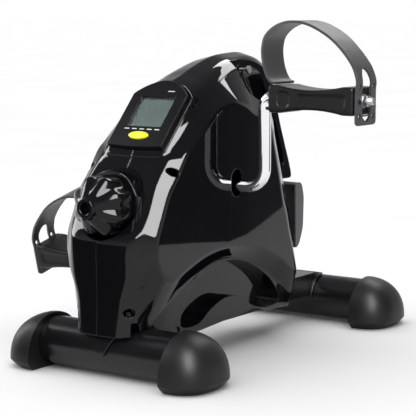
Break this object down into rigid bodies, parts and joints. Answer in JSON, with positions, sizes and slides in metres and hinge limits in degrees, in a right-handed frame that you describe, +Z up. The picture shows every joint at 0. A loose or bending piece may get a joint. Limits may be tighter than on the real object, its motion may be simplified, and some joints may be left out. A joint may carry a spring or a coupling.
{
  "type": "pedal exerciser",
  "caption": "Small floor-standing pedal exerciser: glossy housing on two capped foot tubes, console, tension knob, bent chrome crank, pedals with foot straps.",
  "frame": {"origin": "middle of the bounding box on the floor", "axes": "+Z up, +X to the side of the raised crank, -Y towards the user and the console, +Y towards the carry handle"},
  "size_m": [0.433, 0.459, 0.3547],
  "materials": {
    "tube": "satin black powder coat",
    "cap_rubber": "satin, slightly grained",
    "housing": "high gloss black",
    "rear_cover": "satin dark grey",
    "console_plastic": "satin black",
    "window": "clear, flat",
    "lcd": "grey-green liquid crystal panel",
    "board": "green solder mask",
    "button": "satin yellow",
    "knob": "gloss black",
    "chrome": "polished",
    "steel": "zinc plated",
    "cast_iron": "machined rim",
    "magnet": "nickel plated",
    "belt": "matte black",
    "pulley_plastic": "moulded nylon",
    "pedal": "satin black, grained",
    "strap": "satin dark grey"
  },
  "bodies": {
    "frame_body": {"front_foot_tube": "tube", "rear_foot_tube": "tube", "front_saddle": "tube", "rear_saddle": "tube", "main_frame_bar": "tube", "crank_bracket": "tube", "flywheel_bracket_left": "tube", "flywheel_bracket_right": "tube", "front_cap_left": "cap_rubber", "front_cap_right": "cap_rubber", "rear_cap_left": "cap_rubber", "rear_cap_right": "cap_rubber", "front_bolt_left": "steel", "front_bolt_right": "steel", "rear_bolt_left": "steel", "rear_bolt_right": "steel", "front_nut_left": "steel", "front_nut_right": "steel", "rear_nut_left": "steel", "rear_nut_right": "steel", "crank_bearing_left": "steel", "crank_bearing_right": "steel", "housing_left": "housing", "housing_right": "housing", "rear_cover": "rear_cover", "knob_collar": "housing", "housing_screw_1": "steel", "housing_screw_2": "steel", "drive_belt": "belt", "flywheel_axle": "steel", "axle_spacer_left": "steel", "axle_spacer_right": "steel", "brake_pin": "steel", "brake_spring": "steel", "tension_cable": "steel", "speed_sensor": "console_plastic", "console_bezel": "console_plastic", "console_window": "window", "lcd_panel": "lcd", "circuit_board": "board", "battery": "steel", "console_back": "console_plastic"},
    "crank": {"crank_rod": "chrome", "drive_pulley": "pulley_plastic", "pedal_washer_left": "steel", "pedal_washer_right": "steel", "pedal_nut_left": "steel", "pedal_nut_right": "steel"},
    "pedal_right_body": {"pedal_right": "pedal", "strap_right": "strap"},
    "pedal_left_body": {"pedal_left": "pedal", "strap_left": "strap"},
    "flywheel_body": {"flywheel": "cast_iron", "flywheel_pulley": "steel"},
    "knob_body": {"tension_knob": "knob", "tension_screw": "steel"},
    "brake_body": {"brake_arm": "steel", "brake_magnet_front": "magnet", "brake_magnet_rear": "magnet"},
    "button_body": {"mode_button": "button"}
  },
  "joints": [
    {"name": "crank_spin", "type": "hinge", "parent": "frame_body", "child": "crank", "pos_m": [0, -0.048, 0.184], "axis": [1, 0, 0], "continuous": true},
    {"name": "pedal_right_spin", "type": "hinge", "parent": "crank", "child": "pedal_right_body", "pos_m": [0, -0.048, 0.2765], "axis": [1, 0, 0], "continuous": true},
    {"name": "pedal_left_spin", "type": "hinge", "parent": "crank", "child": "pedal_left_body", "pos_m": [0, -0.048, 0.0915], "axis": [1, 0, 0], "continuous": true},
    {"name": "flywheel_spin", "type": "hinge", "parent": "frame_body", "child": "flywheel_body", "pos_m": [0, 0.053, 0.13], "axis": [1, 0, 0], "continuous": true},
    {"name": "tension_knob_turn", "type": "hinge", "parent": "frame_body", "child": "knob_body", "pos_m": [0, -0.18, 0.1745], "axis": [0, -1, 0], "range_deg": [0, 315]},
    {"name": "brake_arm_swing", "type": "hinge", "parent": "frame_body", "child": "brake_body", "pos_m": [0, 0.02, 0.2005], "axis": [1, 0, 0], "range_deg": [-12, 0]},
    {"name": "mode_button_press", "type": "slide", "parent": "frame_body", "child": "button_body", "axis": [0, 0.7302, -0.6833], "range_m": [0, 0.0012], "stiffness_N_per_m": 400, "springref_m": -0.003}
  ],
  "couplings": [
    {"joint": "pedal_right_spin", "follows": "crank_spin", "ratio": -1},
    {"joint": "pedal_left_spin", "follows": "crank_spin", "ratio": -1},
    {"joint": "flywheel_spin", "follows": "crank_spin", "ratio": 3.5714},
    {"joint": "brake_arm_swing", "follows": "tension_knob_turn", "ratio": -0.038}
  ]
}
